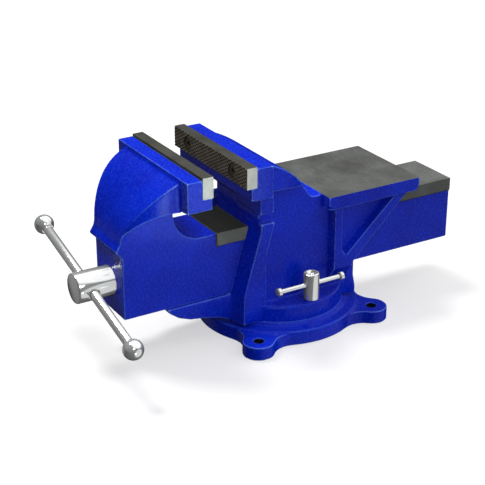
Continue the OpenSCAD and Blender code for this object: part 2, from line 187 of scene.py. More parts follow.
def enamel_material(name, painted_edge_light_and_shade):
    """Glossy blue paint over a sand casting. Edge tints, if asked: painted highlight on corners, painted shade in
    crevices.
    """
    material, tree, shader = new_material(
        name, IOR=1.5, Coat_Weight=0.04, Coat_Roughness=0.08, Specular_IOR_Level=0.11)
    place = place_node(tree)
    drift = noise(tree, place, 55 * MM, 2)
    colour = ramp(tree, drift, (0.35, (0.0002, 0.010, 0.450)), (0.65, (0.0006, 0.021, 0.620)))
    specks = noise(tree, place, 2.4 * MM, 3, 0.6)
    # Light specks: partly a lighter random paint tone, partly painted glints of the grain
    colour = tint(tree, colour, specks, (0.54, 0.0), (0.70, 0.7), (0.012, 0.075, 0.740))
    colour = tint(tree, colour, specks, (0.30, 0.5), (0.42, 0.0), (0.0, 0.008, 0.280))
    if painted_edge_light_and_shade:
        # Painted highlight on convex edges and painted shade in concave crevices, both read from pointiness
        edge = tree.nodes.new("ShaderNodeNewGeometry").outputs["Pointiness"]
        colour = tint(tree, colour, edge, (0.518, 0.0), (0.560, 1.0), (0.150, 0.310, 0.950))
        colour = tint(tree, colour, edge, (0.42, 0.85), (0.482, 0.0), (0.0, 0.004, 0.120))
    connect(tree, shader, colour, ramp(tree, specks, (0.3, 0.22), (0.7, 0.38)))
    bump(tree, shader,
         (noise(tree, place, 14 * MM, 2), 0.25 * MM),
         (noise(tree, place, 3.0 * MM, 3), 0.30 * MM),
         (specks, 0.14 * MM))
    return material


def painted_shade_in_front(tree, place, colour):
    """Painted shade of the jaws: near-black over the front of the beam's way, fading out towards the rear."""
    split = tree.nodes.new("ShaderNodeSeparateXYZ")
    unshaded = tree.nodes.new("ShaderNodeMapRange")
    unshaded.inputs["From Min"].default_value = shade_start
    unshaded.inputs["From Max"].default_value = shade_end
    tree.links.new(place, split.inputs["Vector"])
    tree.links.new(split.outputs["Y"], unshaded.inputs["Value"])
    return blend_colours(tree, unshaded.outputs["Result"], SHADE_BLACK, colour)


def machined_material(name, low, high, metallic, painted_shade_front=False):
    """Milled cast iron: fine cutter lines, darker oily patches and open grain."""
    material, tree, shader = new_material(name, Metallic=metallic, Specular_IOR_Level=0.3)
    place = place_node(tree)
    patches = noise(tree, place, 40 * MM, 3)
    lines = noise(tree, stretched(tree, place, (0.06, 1, 1)), 0.9 * MM, 2)
    grain = noise(tree, place, 0.7 * MM, 3)
    colour = ramp(tree, patches, (0.3, low), (0.7, high))
    colour = tint(tree, colour, grain, (0.35, 0.6), (0.6, 0.0), tuple(0.5 * value for value in low))
    # Painted shade of the jaws: near-black over the front of the way
    if painted_shade_front:
        colour = painted_shade_in_front(tree, place, colour)
    connect(tree, shader, colour, ramp(tree, lines, (0.3, 0.36), (0.7, 0.52)))
    bump(tree, shader, (lines, 0.03 * MM), (grain, 0.02 * MM))
    return material


def jaw_material():
    """Oil-black tool steel of the plates' tops and backs."""
    material, tree, shader = new_material("jaw_steel", Metallic=0.8)
    place = place_node(tree)
    lines = noise(tree, stretched(tree, place, (0.05, 1, 1)), 0.7 * MM, 2)
    patches = noise(tree, place, 22 * MM, 3)
    colour = ramp(tree, patches, (0.3, (0.070, 0.075, 0.062)), (0.7, (0.140, 0.140, 0.120)))
    connect(tree, shader, colour, ramp(tree, lines, (0.3, 0.35), (0.7, 0.5)))
    bump(tree, shader, (lines, 0.02 * MM))
    return material


def land_material():
    """The gripping face between its grooves: brown oiled steel."""
    material, tree, shader = new_material("serrated_steel", Metallic=0.6)
    place = place_node(tree)
    patches = noise(tree, place, 9 * MM, 3)
    colour = ramp(tree, patches, (0.3, (0.150, 0.125, 0.090)), (0.7, (0.380, 0.320, 0.240)))
    connect(tree, shader, colour, ramp(tree, patches, (0.3, 0.35), (0.7, 0.6)))
    bump(tree, shader, (noise(tree, place, 0.8 * MM, 3), 0.02 * MM))
    return material


def groove_material():
    """Black oil and dirt in the serrations."""
    material, _, shader = new_material("groove_black", Metallic=0.2, Roughness=0.6)
    shader.inputs["Base Color"].default_value = (0.010, 0.008, 0.006, 1)
    return material


def ground_material():
    """Freshly ground steel of the plates' ends, pale and matt."""
    material, tree, shader = new_material("ground_steel", Metallic=0.55)
    place = place_node(tree)
    lines = noise(tree, stretched(tree, place, (1, 0.06, 1)), 0.6 * MM, 2)
    patches = noise(tree, place, 7 * MM, 3)
    colour = ramp(tree, patches, (0.3, (0.42, 0.40, 0.39)), (0.7, (0.50, 0.48, 0.47)))
    connect(tree, shader, colour, ramp(tree, lines, (0.3, 0.38), (0.7, 0.55)))
    bump(tree, shader, (lines, 0.02 * MM))
    return material


def bright_material(axis):
    """Turned and polished steel. Its fine marks are rings round y or z, and have no direction for x."""
    material, tree, shader = new_material("bright_steel_" + axis, Metallic=0.7)
    place = place_node(tree)
    along = {"x": (1, 1, 1), "y": (0.03, 1, 0.03), "z": (0.03, 0.03, 1)}[axis]
    marks = noise(tree, stretched(tree, place, along), 0.6 * MM, 3)
    smears = noise(tree, place, 12 * MM, 3)
    colour = ramp(tree, smears, (0.3, (0.82, 0.84, 0.83)), (0.7, (0.88, 0.89, 0.88)))
    connect(tree, shader, colour, ramp(tree, smears, (0.3, 0.10), (0.7, 0.16)))
    bump(tree, shader, (marks, 0.004 * MM))
    return material


def dark_material():
    """Black oxide on fasteners and springs, rubbed to brown steel in patches."""
    material, tree, shader = new_material("dark_steel", Metallic=0.75)
    place = place_node(tree)
    patches = noise(tree, place, 4 * MM, 4)
    colour = ramp(tree, patches, (0.35, (0.045, 0.035, 0.026)), (0.7, (0.190, 0.135, 0.085)))
    connect(tree, shader, colour, ramp(tree, patches, (0.3, 0.35), (0.7, 0.6)))
    bump(tree, shader, (noise(tree, place, 1.2 * MM, 3), 0.03 * MM))
    return material


enamel = enamel_material("blue_enamel", True)
flat_enamel = enamel_material("flat_blue_enamel", False)
machined = machined_material("machined_iron", IRON_DARK, IRON_LIGHT, 0.75)
# Near-black iron that paints shade into the bolt holes and into strips beside the flange
shade_black_iron = machined_material("painted_shade_iron", SHADE_BLACK, (0.024, 0.026, 0.024), 0.4)
way = machined_material("way_iron", IRON_DARK, IRON_LIGHT, 0.6, painted_shade_front=True)
# The flange's sides: a darker copy of the same milled iron, painted shade
way_side = machined_material("way_side_iron", (0.070, 0.075, 0.072), (0.150, 0.158, 0.152), 0.75)
casting_finishes = [enamel, machined, shade_black_iron, way, way_side, flat_enamel]
plate_finishes = [jaw_material(), land_material(), groove_material(), ground_material()]
bright = {axis: bright_material(axis) for axis in "xyz"}
dark = dark_material()


# ---------------------------------------------------------------- mesh helpers

def new_object(name, mesh, *materials):
    piece = bpy.data.objects.new(name, mesh)
    bpy.context.scene.collection.objects.link(piece)
    for material in materials:
        piece.data.materials.append(material)
    return piece


def to_mesh(name, shape):
    mesh = bpy.data.meshes.new(name)
    shape.to_mesh(mesh)
    shape.free()
    return mesh


def add_shapes(piece, *shapes):
    """Puts more closed shapes into a piece's mesh, without joining them to it."""
    whole = bmesh.new()
    whole.from_mesh(piece.data)
    for shape in shapes:
        mesh = to_mesh("extra", shape)
        whole.from_mesh(mesh)
        bpy.data.meshes.remove(mesh)
    whole.to_mesh(piece.data)
    whole.free()


def put_on(piece, body, slot, *replaced):
    """The piece rides on a body and stands for CAD nodes, which it hides. The slot is not used."""
    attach(piece, body)
    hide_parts(*replaced)
    return piece


def sorted_corners(first, second):
    """Lowest and highest corner of the box between two points."""
    return [min(p) for p in zip(first, second)], [max(p) for p in zip(first, second)]


def block(low, high, place=ENAMEL):
    """Box between two corners."""
    shape = bmesh.new()
    size = Vector(high) - Vector(low)
    middle = (Vector(high) + Vector(low)) / 2
    bmesh.ops.create_cube(shape, size=1, matrix=Matrix.Translation(middle) @ Matrix.Diagonal((*size, 1)))
    for face in shape.faces:
        face.material_index = place
    return shape


def prism(outline, y_low, y_high):
    """Solid between two Y planes. The outline is (x, z) points."""
    shape = bmesh.new()
    near, far = ([shape.verts.new((x, y, z)) for x, z in outline] for y in (y_low, y_high))
    shape.faces.new(near)
    shape.faces.new(far)
    for i in range(len(outline)):
        j = (i + 1) % len(outline)
        shape.faces.new((near[i], near[j], far[j], far[i]))
    bmesh.ops.recalc_face_normals(shape, faces=shape.faces)
    return shape


def circle(sides):
    """Cosine and sine of each corner of a regular polygon."""
    angles = [2 * math.pi * i / sides for i in range(sides)]
    return [(math.cos(a), math.sin(a)) for a in angles]


def turned(profile, sides=96, place=0, direction=(0, 0, 1), origin=(0, 0, 0)):
    """Closed solid of revolution. The profile is (radius, height) points, from the axis back to the axis."""
    shape = bmesh.new()
    axis = Vector(direction).normalized()
    stand = Matrix.Translation(origin) @ axis.to_track_quat("Z", "X").to_matrix().to_4x4()
    rings = []
    for radius, height in profile:
        corners = circle(sides) if radius else [(0, 0)]
        rings.append([shape.verts.new(stand @ Vector((radius * x, radius * y, height))) for x, y in corners])
    for low, high in zip(rings, rings[1:]):
        for i in range(sides):
            j = (i + 1) % sides
            if len(low) == 1:
                corners = (low[0], high[j], high[i])
            elif len(high) == 1:
                corners = (low[i], low[j], high[0])
            else:
                corners = (low[i], low[j], high[j], high[i])
            shape.faces.new(corners).material_index = place
    bmesh.ops.recalc_face_normals(shape, faces=shape.faces)
    return shape


def in_mm(*points):
    return [(radius * MM, height * MM) for radius, height in points]


def straight(radius, low, high):
    """Profile of a plain cylinder."""
    return [(0, low), (radius, low), (radius, high), (0, high)]


def round_edge(radius, low, high, edge):
    """Profile of a cylinder with rounded rims, from its low end to its high end."""
    steps = 4
    points = [(0, low)]
    for i in range(steps + 1):
        a = math.pi / 2 * i / steps
        points.append((radius - edge + edge * math.sin(a), low + edge - edge * math.cos(a)))
    for i in range(steps + 1):
        a = math.pi / 2 * i / steps
        points.append((radius - edge + edge * math.cos(a), high - edge + edge * math.sin(a)))
    return points + [(0, high)]


def bevel_edges(shape, width):
    bmesh.ops.bevel(shape, geom=shape.edges[:], offset=width, segments=1, affect="EDGES", profile=0.5)


def apply_modifiers(piece):
    graph = bpy.context.evaluated_depsgraph_get()
    mesh = bpy.data.meshes.new_from_object(piece.evaluated_get(graph))
    piece.modifiers.clear()
    old, piece.data = piece.data, mesh
    bpy.data.meshes.remove(old)


def boolean(piece, tool, operation="DIFFERENCE"):
    """Cuts or adds a shape. The tool's faces keep their own material places."""
    other = new_object("tool", to_mesh("tool", tool), *piece.data.materials)
    modifier = piece.modifiers.new("cut", "BOOLEAN")
    modifier.operation = operation
    modifier.solver = "MANIFOLD"
    modifier.object = other
    apply_modifiers(piece)
    bpy.data.objects.remove(other)


def shade(piece, angle=40):
    """Smooth shading, with sharp edges at corners and where the material changes."""
    mesh = piece.data
    mesh.polygons.foreach_set("use_smooth", np.ones(len(mesh.polygons), bool))
    shape = bmesh.new()
    shape.from_mesh(mesh)
    limit = math.radians(angle)
    for edge in shape.edges:
        if len(edge.link_faces) == 2:
            first, second = edge.link_faces
            differs = first.material_index != second.material_index
            edge.smooth = not (differs or edge.calc_face_angle(0) > limit)
    shape.to_mesh(mesh)
    shape.free()
    return piece


# ---------------------------------------------------------------- castings

VOXEL = 0.9 * MM
WIDE = 200 * MM         # half width of a block that cuts right across a casting
TALL = 300 * MM         # a height above the whole object
SPARE = 50 * MM         # how far a cutting block reaches outside the casting


def soften(mesh, rounds):
    """Rounds a cast skin: every edge a little, and inside corners more, as a foundry's fillets are."""
    fillet_rounds, rounds_per_normal = 30, 5
    least_step = 0.005 * VOXEL
    count = len(mesh.vertices)
    points = np.empty(count * 3)
    mesh.vertices.foreach_get("co", points)
    points = points.reshape(-1, 3)
    ends = np.empty(len(mesh.edges) * 2, np.int32)
    mesh.edges.foreach_get("vertices", ends)
    a, b = ends.reshape(-1, 2).T
    degree = np.bincount(a, minlength=count) + np.bincount(b, minlength=count)
    normals = np.empty(count * 3, np.float32)

    def pull():
        """Half the way from each point to the middle of its neighbours."""
        columns = [np.bincount(a, points[b, k], count) + np.bincount(b, points[a, k], count)
                   for k in range(3)]
        return 0.5 * (np.stack(columns, 1) / degree[:, None] - points)

    def write():
        mesh.vertices.foreach_set("co", points.ravel())
        mesh.update()

    for _ in range(rounds):
        points += pull()
    for i in range(fillet_rounds):
        if i % rounds_per_normal == 0:
            write()
            mesh.vertex_normals.foreach_get("vector", normals)
        step = pull()
        outward = np.einsum("ij,ij->i", step, normals.reshape(-1, 3))
        points += step * (outward > least_step)[:, None]
    for _ in range(2):
        points += pull()
    write()


def casting(name, node, stock=(), trims=(), rounds=1):
    """A sand-cast copy of a CAD node, before machining. Stock is added where a face will be machined."""
    shape = bmesh.new()
    shape.from_mesh(nodes[node].data)
    bmesh.ops.remove_doubles(shape, verts=shape.verts, dist=1e-6)
    piece = new_object(name, to_mesh(name, shape), *casting_finishes)
    for trim in trims:
        boolean(piece, trim)
    add_shapes(piece, *stock)
    remesh = piece.modifiers.new("skin", "REMESH")
    remesh.mode = "VOXEL"
    remesh.voxel_size = VOXEL
    apply_modifiers(piece)
    soften(piece.data, rounds)
    thin = piece.modifiers.new("thin", "DECIMATE")
    thin.ratio = 0.45
    apply_modifiers(piece)
    piece.data.materials.clear()
    for finish in casting_finishes:
        piece.data.materials.append(finish)
    piece.data.polygons.foreach_set("material_index", np.zeros(len(piece.data.polygons), np.int32))
    return piece


def swivel_base():
    piece = casting("swivel_base_casting", "swivel_base", rounds=2)
    for i in range(4):
        turn = math.radians(45 + 90 * i) + base_turn
        hole = (bolt_circle * math.cos(turn), bolt_circle * math.sin(turn), 0)
        # The bolt holes' walls are painted shade, near-black
        boolean(piece, turned(round_edge(bolt_hole_r, -10 * MM, 30 * MM, MM), 64, PAINTED_SHADE, origin=hole))
    skim = 0.15 * MM
    boolean(piece, block((-WIDE, -WIDE, -SPARE), (WIDE, WIDE, skim), MACHINED))
    return put_on(shade(piece), "base", "blue_enamel", "swivel_base")


def beam_channel():
    """The two boxes of the channel that the beam runs in."""
    end = 250 * MM
    wide = block((-flange_half - slide_gap, -end, flange_bottom - slide_gap),
                 (flange_half + slide_gap, end, flange_top + slide_gap), MACHINED)
    deep = block((-beam_half - slide_gap, -end, beam_bottom - slide_gap),
                 (beam_half + slide_gap, end, flange_bottom + MM), MACHINED)
    return wide, deep


def plate_seat(y_low, y_high, z_low):
    """Cut for a jaw plate, open at its top and ends."""
    return block((-WIDE, y_low, z_low), (WIDE, y_high, TALL), MACHINED)


def fixed_jaw_stock():
    """Metal to be machined off the anvil and the foot, and more of the jaw bar's lower edge."""
    spare = 3 * MM
    anvil = block((-anvil_half, anvil_front, anvil_top - 10 * MM),
                  (anvil_half, anvil_rear, anvil_top + spare))
    foot = turned(round_edge(foot_radius, foot_bottom - spare, foot_bottom + 2 * spare, 0.1 * MM))
    under_bar = block((-bar_end, fixed_face + 10 * MM, fixed_bar_bottom - 0.9 * MM),
                      (bar_end, fixed_bar_rear, fixed_bar_bottom + 5 * MM))
    return anvil, foot, under_bar


def fixed_jaw_body():
    piece = casting("fixed_jaw_casting", "fixed_jaw_body", stock=fixed_jaw_stock())
    for tool in beam_channel():
        boolean(piece, tool)
    front, skim = anvil_front - 0.9 * MM, 0.02 * MM
    boolean(piece, block((-WIDE, front, anvil_top), (WIDE, WIDE, anvil_top + SPARE), MACHINED))
    boolean(piece, block((-WIDE, -WIDE, -SPARE), (WIDE, WIDE, foot_bottom + skim), MACHINED))
    back = fixed_face + plate_thickness + plate_gap
    boolean(piece, plate_seat(fixed_face - SPARE, back, fixed_plate_low.z))
    return put_on(shade(piece), "vise_body", "blue_enamel", "fixed_jaw_body")


def flange_trims():
    """Blocks that clear the place of the milled flange: its two sides, and its top in two steps."""
    wide, clear = 40 * MM, 10 * MM
    far = beam_rear + clear
    sides = [block(*sorted_corners((side * beam_half, flange_front - MM, flange_bottom - clear),
                                   (side * wide, far, flange_top + clear))) for side in (-1, 1)]
    front_step = block((-wide, flange_front - 0.5 * MM, flange_top - 1.2 * MM),
                       (wide, far, flange_top + clear))
    rear_step = block((-wide, flange_front + 3 * MM, flange_top - 2.7 * MM), (wide, far, flange_top))
    return sides + [front_step, rear_step]


def sliding_jaw_stock():
    """More of the beam's rear end and of the jaw bar's lower edge, and a low web under the bar's front."""
    rear = block((-beam_half, beam_rear - 5 * MM, flange_bottom),
                 (beam_half, beam_rear + 3 * MM, flange_top - 3 * MM))
    low, high = bar_bottom - 1.4 * MM, bar_bottom + 3 * MM
    bar_rear = moving_face - 1.7 * MM
    under_bar = block((-bar_end, bar_front, low), (bar_end, bar_rear, high))
    rear_bar = block((-bar_end, bar_front + 9 * MM, low), (bar_end, bar_rear, sliding_plate_low.z))
    web_half, web_low = 52 * MM, low - 2.6 * MM
    outline = [(-bar_end, high), (-bar_end, low), (-web_half, web_low), (web_half, web_low),
               (bar_end, low), (bar_end, high)]
    return rear, under_bar, rear_bar, prism(outline, bar_front, bar_front + 8 * MM)


def add_flange(piece):
    """The milled flange that the beam slides on: bare iron with small bevels."""
    flange = block((-flange_half, flange_front, flange_bottom), (flange_half, beam_rear, flange_top))
    bevel_edges(flange, 0.5 * MM)
    for face in flange.faces:
        face.normal_update()
        face.material_index = WAY if face.normal.z > 0.9 else WAY_SIDE
    boolean(piece, flange, "UNION")


def dark_crevice(piece, low, high):
    """Painted shade: a near-black strip on the paint between two corners of a box."""
    shape = bmesh.new()
    shape.from_mesh(piece.data)
    for axis in range(3):
        normal = Vector([float(axis == k) for k in range(3)])
        for corner in (low, high):
            near = [face for face in shape.faces if all(
                min(v.co[k] for v in face.verts) < high[k] and max(v.co[k] for v in face.verts) > low[k]
                for k in range(3))]
            around = {part for face in near for part in (face, *face.edges, *face.verts)}
            bmesh.ops.bisect_plane(shape, geom=list(around), dist=1e-6, plane_co=corner, plane_no=normal)
    for face in shape.faces:
        middle = face.calc_center_median()
        if face.material_index == ENAMEL and all(low[k] < middle[k] < high[k] for k in range(3)):
            face.material_index = PAINTED_SHADE
    shape.to_mesh(piece.data)
    shape.free()


def paint_beside_flange(piece):
    """Painted shade strips in the corners under and before the flange; paint near it lacks the edge tints."""
    strip, inner, outer, near = 0.9 * MM, 29 * MM, 34 * MM, 4 * MM
    for side in (-1, 1):
        for rear, top in ((beam_rear, flange_bottom), (flange_front, flange_top)):
            first = (side * inner, flange_front - strip, flange_bottom - strip)
            dark_crevice(piece, *sorted_corners(first, (side * outer, rear, top)))
    for polygon in piece.data.polygons:
        y, z = polygon.center[1:]
        beside_flange = y > flange_front - near and flange_bottom - near < z < flange_top
        if polygon.material_index == ENAMEL and beside_flange:
            polygon.material_index = FLAT_ENAMEL


def sliding_jaw():
    piece = casting("sliding_jaw_casting", "sliding_jaw", stock=sliding_jaw_stock(), trims=flange_trims())
    add_flange(piece)
    paint_beside_flange(piece)
    boolean(piece, block((-WIDE, beam_rear, 0), (WIDE, beam_rear + 2 * SPARE, TALL), FLAT_ENAMEL))
    back = moving_face - plate_thickness - plate_gap
    boolean(piece, plate_seat(back, moving_face + SPARE, sliding_plate_low.z))
    bore = straight(screw_r + 0.05 * MM, -30 * MM, 20 * MM)
    boolean(piece, turned(bore, 64, MACHINED, (0, 1, 0), (0, beam_front, screw_z)))
    return put_on(shade(piece), "slide", "blue_enamel", "sliding_jaw")


swivel_base()
# The polished pieces mirror only the studio's lamps, so the two jaws stay out of reflections
for jaw in (fixed_jaw_body(), sliding_jaw()):
    jaw.visible_glossy = False


# ---------------------------------------------------------------- jaw plates and their screws

groove_pitch = 3.2 * MM
groove_width = 1.5 * MM
groove_depth = 0.55 * MM
groove_slope = math.radians(29)
plate_edge = 0.3 * MM
recess_r, recess_depth = 7.5 * MM, 6 * MM
shank_hole_r = 4.5 * MM
screw_head_r = 7 * MM
screws_low, screws_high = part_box("fixed_jaw_screws")
plate_screw_places = (screws_low.x + screw_head_r, screws_high.x - screw_head_r)
SIDE, LAND, GROOVE, END = range(4)      # material places on a plate


def groove(x, z, slope):
    """Depth at a point of one family of V grooves."""
    across = z * math.cos(slope) - x * math.sin(slope)
    off = np.abs((across / groove_pitch) % 1 - 0.5) * groove_pitch
    return groove_depth * np.clip(1 - off / (groove_width / 2), 0, 1)


def serrated_face(shape, low, high, face_y, back):
    """Grid of lands and grooves. Returns the vertices round its edge, in order."""
    columns, rows = 400, 60
    xs = np.linspace(low.x + plate_edge, high.x - plate_edge, columns)
    zs = np.linspace(low.z + plate_edge, high.z - plate_edge, rows)
    grid_x, grid_z = np.meshgrid(xs, zs)
    depth = np.maximum(groove(grid_x, grid_z, groove_slope), groove(grid_x, grid_z, -groove_slope))
    grid = [[shape.verts.new((grid_x[j, i], face_y + back * depth[j, i], grid_z[j, i]))
             for i in range(columns)] for j in range(rows)]
    for j in range(rows - 1):
        for i in range(columns - 1):
            corners = (grid[j][i], grid[j][i + 1], grid[j + 1][i + 1], grid[j + 1][i])
            in_groove = depth[j:j + 2, i:i + 2].mean() > 0.35 * groove_depth
            shape.faces.new(corners).material_index = GROOVE if in_groove else LAND
    return grid[0][:-1] + [row[-1] for row in grid[:-1]] + grid[-1][:0:-1] + [row[0] for row in grid[:0:-1]]


def to_side(value, low, high):
    """Moves a coordinate on the rim of the serrated face out to the plate's side."""
    rim = 1.01 * plate_edge
    if value > high - rim:
        return high
    if value < low + rim:
        return low
    return value


def jaw_plate(name, node, body, face_y, back):
    """Plate with a cross-hatched gripping face. back is +1 where the plate's back is towards +Y."""
    low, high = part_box(node)
    shape = bmesh.new()
    loop = serrated_face(shape, low, high, face_y, back)

    def ring(y):
        return [shape.verts.new((to_side(vert.co.x, low.x, high.x), y, to_side(vert.co.z, low.z, high.z)))
                for vert in loop]

    bevelled = ring(face_y + back * plate_edge * 1.3)
    behind = ring(face_y + back * plate_thickness)
    for first, second, place in ((loop, bevelled, LAND), (bevelled, behind, SIDE)):
        for i in range(len(loop)):
            j = (i + 1) % len(loop)
            face = shape.faces.new((first[i], first[j], second[j], second[i]))
            face.normal_update()
            face.material_index = END if place == SIDE and abs(face.normal.x) > 0.9 else place
    shape.faces.new(behind)
    bmesh.ops.recalc_face_normals(shape, faces=shape.faces)
    piece = new_object(name, to_mesh(name, shape), *plate_finishes)
    through = 30 * MM
    recess = [(0, -MM), (recess_r, -MM), (recess_r, recess_depth), (shank_hole_r, recess_depth),
              (shank_hole_r, through), (0, through)]
    for x in plate_screw_places:
        boolean(piece, turned(recess, 64, GROOVE, (0, back, 0), (x, face_y, (low.z + high.z) / 2)))
    return put_on(shade(piece, 25), body, "jaw_steel", node)


def plate_screws(name, node, body, face_y, back):
    """Socket-head screws in the plate's recesses."""
    low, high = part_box(node)
    screw = in_mm((0, 1), (6.3, 1), (7, 1.8), (7, 5.8), (6.8, 6), (3.95, 6), (3.95, 23), (3, 24), (0, 24))
    socket_r = 3 * MM / math.cos(math.pi / 6)
    whole = bmesh.new()
    for x in plate_screw_places:
        stand = ((0, back, 0), (x, face_y, (low.z + high.z) / 2))
        piece = new_object(name, to_mesh(name, turned(screw, 64, 0, *stand)), dark)
        boolean(piece, turned(straight(socket_r, 0, 5 * MM), 6, 0, *stand))
        whole.from_mesh(piece.data)
        bpy.data.objects.remove(piece)
    piece = new_object(name, to_mesh(name, whole), dark)
    return put_on(shade(piece, 30), body, "dark_steel", node)


for plate in (jaw_plate("fixed_jaw_plate_serrated", "fixed_jaw_plate", "vise_body", fixed_face, 1),
              jaw_plate("sliding_jaw_plate_serrated", "sliding_jaw_plate", "slide", moving_face, -1)):
    plate.visible_glossy = False
plate_screws("fixed_plate_screws", "fixed_jaw_screws", "vise_body", fixed_face, 1)
plate_screws("sliding_plate_screws", "sliding_jaw_screws", "slide", moving_face, -1)


# ---------------------------------------------------------------- screw and handle

head_r = 16 * MM
head_front = screw_low.y
handle_y = head_front + 15.7 * MM
handle_r = 5 * MM
handle_axis = Vector(joints["handle_slide"]["axis"]).normalized()
shank = 38 * MM             # plain length of the screw behind its head
thread_pitch = 5 * MM
thread_depth = 2.4 * MM
HOLE_GAP = 0.05 * MM        # between a bar and the hole that it slides in


def helical_thread(start, end):
    """Trapezoidal thread as a closed rod along +Y. It fades out over its last 3 mm at both ends."""
    sides, steps, fade_length = 64, 12, 3 * MM
    rows = int((end - start) / thread_pitch * steps)
    shape = bmesh.new()
    rings = []
    for k in range(rows + 1):
        y = start + (end - start) * k / rows
        fade = max(min(1, (end - y) / fade_length, (y - start) / fade_length), 0)
        ring = []
        for i, (across, up) in enumerate(circle(sides)):
            phase = ((y - start) / thread_pitch - i / sides) % 1
            crest = np.clip((abs(phase - 0.5) - 0.13) / 0.12, 0, 1)
            radius = screw_r - thread_depth + thread_depth * (1 - crest) * fade
            ring.append(shape.verts.new((radius * across, y, screw_z + radius * up)))
        rings.append(ring)
    for low, high in zip(rings, rings[1:]):
        for i in range(sides):
            j = (i + 1) % sides
            shape.faces.new((low[i], high[i], high[j], low[j]))
    shape.faces.new(rings[0][::-1])
    shape.faces.new(rings[-1])
    bmesh.ops.recalc_face_normals(shape, faces=shape.faces)
    return shape


def lead_screw():
    """Round head with a cross hole and its counterbores, plain shank and thread."""
    back = beam_front - head_front
    root_r = screw_r - thread_depth
    profile = [(0, 0), (head_r - 1.6 * MM, 0), (head_r - 0.5 * MM, 0.4 * MM), (head_r, 1.3 * MM),
               (head_r, back - 0.8 * MM), (head_r - 0.3 * MM, back - 0.2 * MM), (head_r - 0.8 * MM, back),
               (screw_r, back), (screw_r, back + shank), (root_r, back + shank + 3 * MM),
               (root_r, back + shank + 7 * MM), (0, back + shank + 7 * MM)]
    turning = turned(profile, 512, 0, (0, 1, 0), (0, head_front, screw_z))
    piece = new_object("lead_screw_turned", to_mesh("head", turning), bright["y"])
    middle = (0, handle_y, screw_z)
    cross = straight(handle_r + HOLE_GAP, -30 * MM, 30 * MM)
    boolean(piece, turned(cross, 64, 0, handle_axis, middle))
    counterbore = in_mm((0, 13.1), (6.4, 13.1), (6.9, 17.4), (0, 17.4))
    for side in (-1, 1):
        boolean(piece, turned(counterbore, 64, 0, side * handle_axis, middle))
    add_shapes(piece, helical_thread(beam_front + shank, screw_high.y))
    return put_on(shade(piece, 30), "screw", "bright_steel", "lead_screw")


def ball_profile(ball_r):
    """Ball with a short collar where the handle bar goes in. The collar comes last."""
    collar_r, collar, steps = 6.6 * MM, 0.8 * MM, 40
    start = math.acos(collar_r / ball_r)
    top = ball_r * math.sin(start) + collar
    angles = [-math.pi / 2 + (start + math.pi / 2) * k / steps for k in range(1, steps + 1)]
    curve = [(ball_r * math.cos(a), ball_r * math.sin(a)) for a in angles]
    return [(0, -ball_r), *curve, (collar_r - 0.4 * MM, top), (handle_r - 0.1 * MM, top), (0, top)]


def handle():
    """Bar with a ball at each end."""
    right_low, right_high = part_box("handle_ball_right")
    left_low, left_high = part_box("handle_ball_left")
    ball_r = (right_high.y - right_low.y) / 2
    right = Vector((right_high.x - ball_r, handle_y, right_low.z + ball_r))
    left = Vector((left_low.x + ball_r, handle_y, left_high.z - ball_r))
    bar = turned(round_edge(handle_r, 0, (right - left).length, 0.4 * MM), 64, 0, right - left, left)
    piece = new_object("handle_bar_turned", to_mesh("bar", bar), bright["x"])
    put_on(shade(piece, 30), "handle", "bright_steel", "handle_bar")
    for hand, centre, inward in (("right", right, left - right), ("left", left, right - left)):
        node = "handle_ball_" + hand
        ball = turned(ball_profile(ball_r), 64, 0, inward, centre)
        piece = new_object(node + "_turned", to_mesh(node, ball), bright["x"])
        put_on(shade(piece, 30), "handle", "bright_steel", node)


lead_screw()
handle()


# ---------------------------------------------------------------- spring, swivel locks

def thrust_spring():
    """Round wire coil behind the beam's front wall."""
    low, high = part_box("thrust_spring")
    wire = 1.3 * MM
    radius = (high.x - low.x) / 2 - wire
    turns, per_turn, sides = 4, 32, 12
    rings = []
    shape = bmesh.new()
    for k in range(turns * per_turn + 1):
        share = k / (turns * per_turn)
        a = 2 * math.pi * share * turns
        y = low.y + wire + (high.y - low.y - 2 * wire) * share
        ring = []
        for out, along in circle(sides):
            r = radius + wire * out
            ring.append(shape.verts.new((r * math.cos(a), y + wire * along, screw_z + r * math.sin(a))))
        rings.append(ring)
    for first, second in zip(rings, rings[1:]):
        for i in range(sides):
            j = (i + 1) % sides
            shape.faces.new((first[i], first[j], second[j], second[i]))
    shape.faces.new(rings[0])
    shape.faces.new(rings[-1])
    bmesh.ops.recalc_face_normals(shape, faces=shape.faces)
    piece = new_object("thrust_spring_coil", to_mesh("spring", shape), dark)
    return put_on(shade(piece, 50), "slide", "dark_steel", "thrust_spring")


def lock_bolt(hand, x, bar_r, bar_z):
    """Bolt with a tall head, its top dished round a small point, and a cross hole for its bar."""
    low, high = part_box("lock_bolt_" + hand)
    bottom, top, head_bottom = low.z, high.z, 37.3 * MM
    shank_r, radius = 5 * MM, (high.x - low.x) / 2
    profile = [(0, bottom), (shank_r - 0.8 * MM, bottom), (shank_r, bottom + MM), (shank_r, head_bottom),
               (radius - 0.8 * MM, head_bottom), (radius, head_bottom + 0.8 * MM), (radius, top - 1.6 * MM),
               (radius - 0.5 * MM, top - 0.6 * MM), (radius - 1.6 * MM, top), (5.6 * MM, top),
               (5.2 * MM, top - 0.4 * MM), (3.6 * MM, top - 2.6 * MM), (1.2 * MM, top - 2.6 * MM),
               (0, top - 1.2 * MM)]
    bolt = turned(profile, origin=(x, lock_y, 0))
    piece = new_object("lock_bolt_%s_turned" % hand, to_mesh("bolt", bolt), bright["z"])
    hole = straight(bar_r + HOLE_GAP, -20 * MM, 20 * MM)
    boolean(piece, turned(hole, 48, 0, (0, 1, 0), (x, lock_y, bar_z)))
    put_on(shade(piece, 30), "lock_" + hand, "bright_steel", "lock_bolt_" + hand)


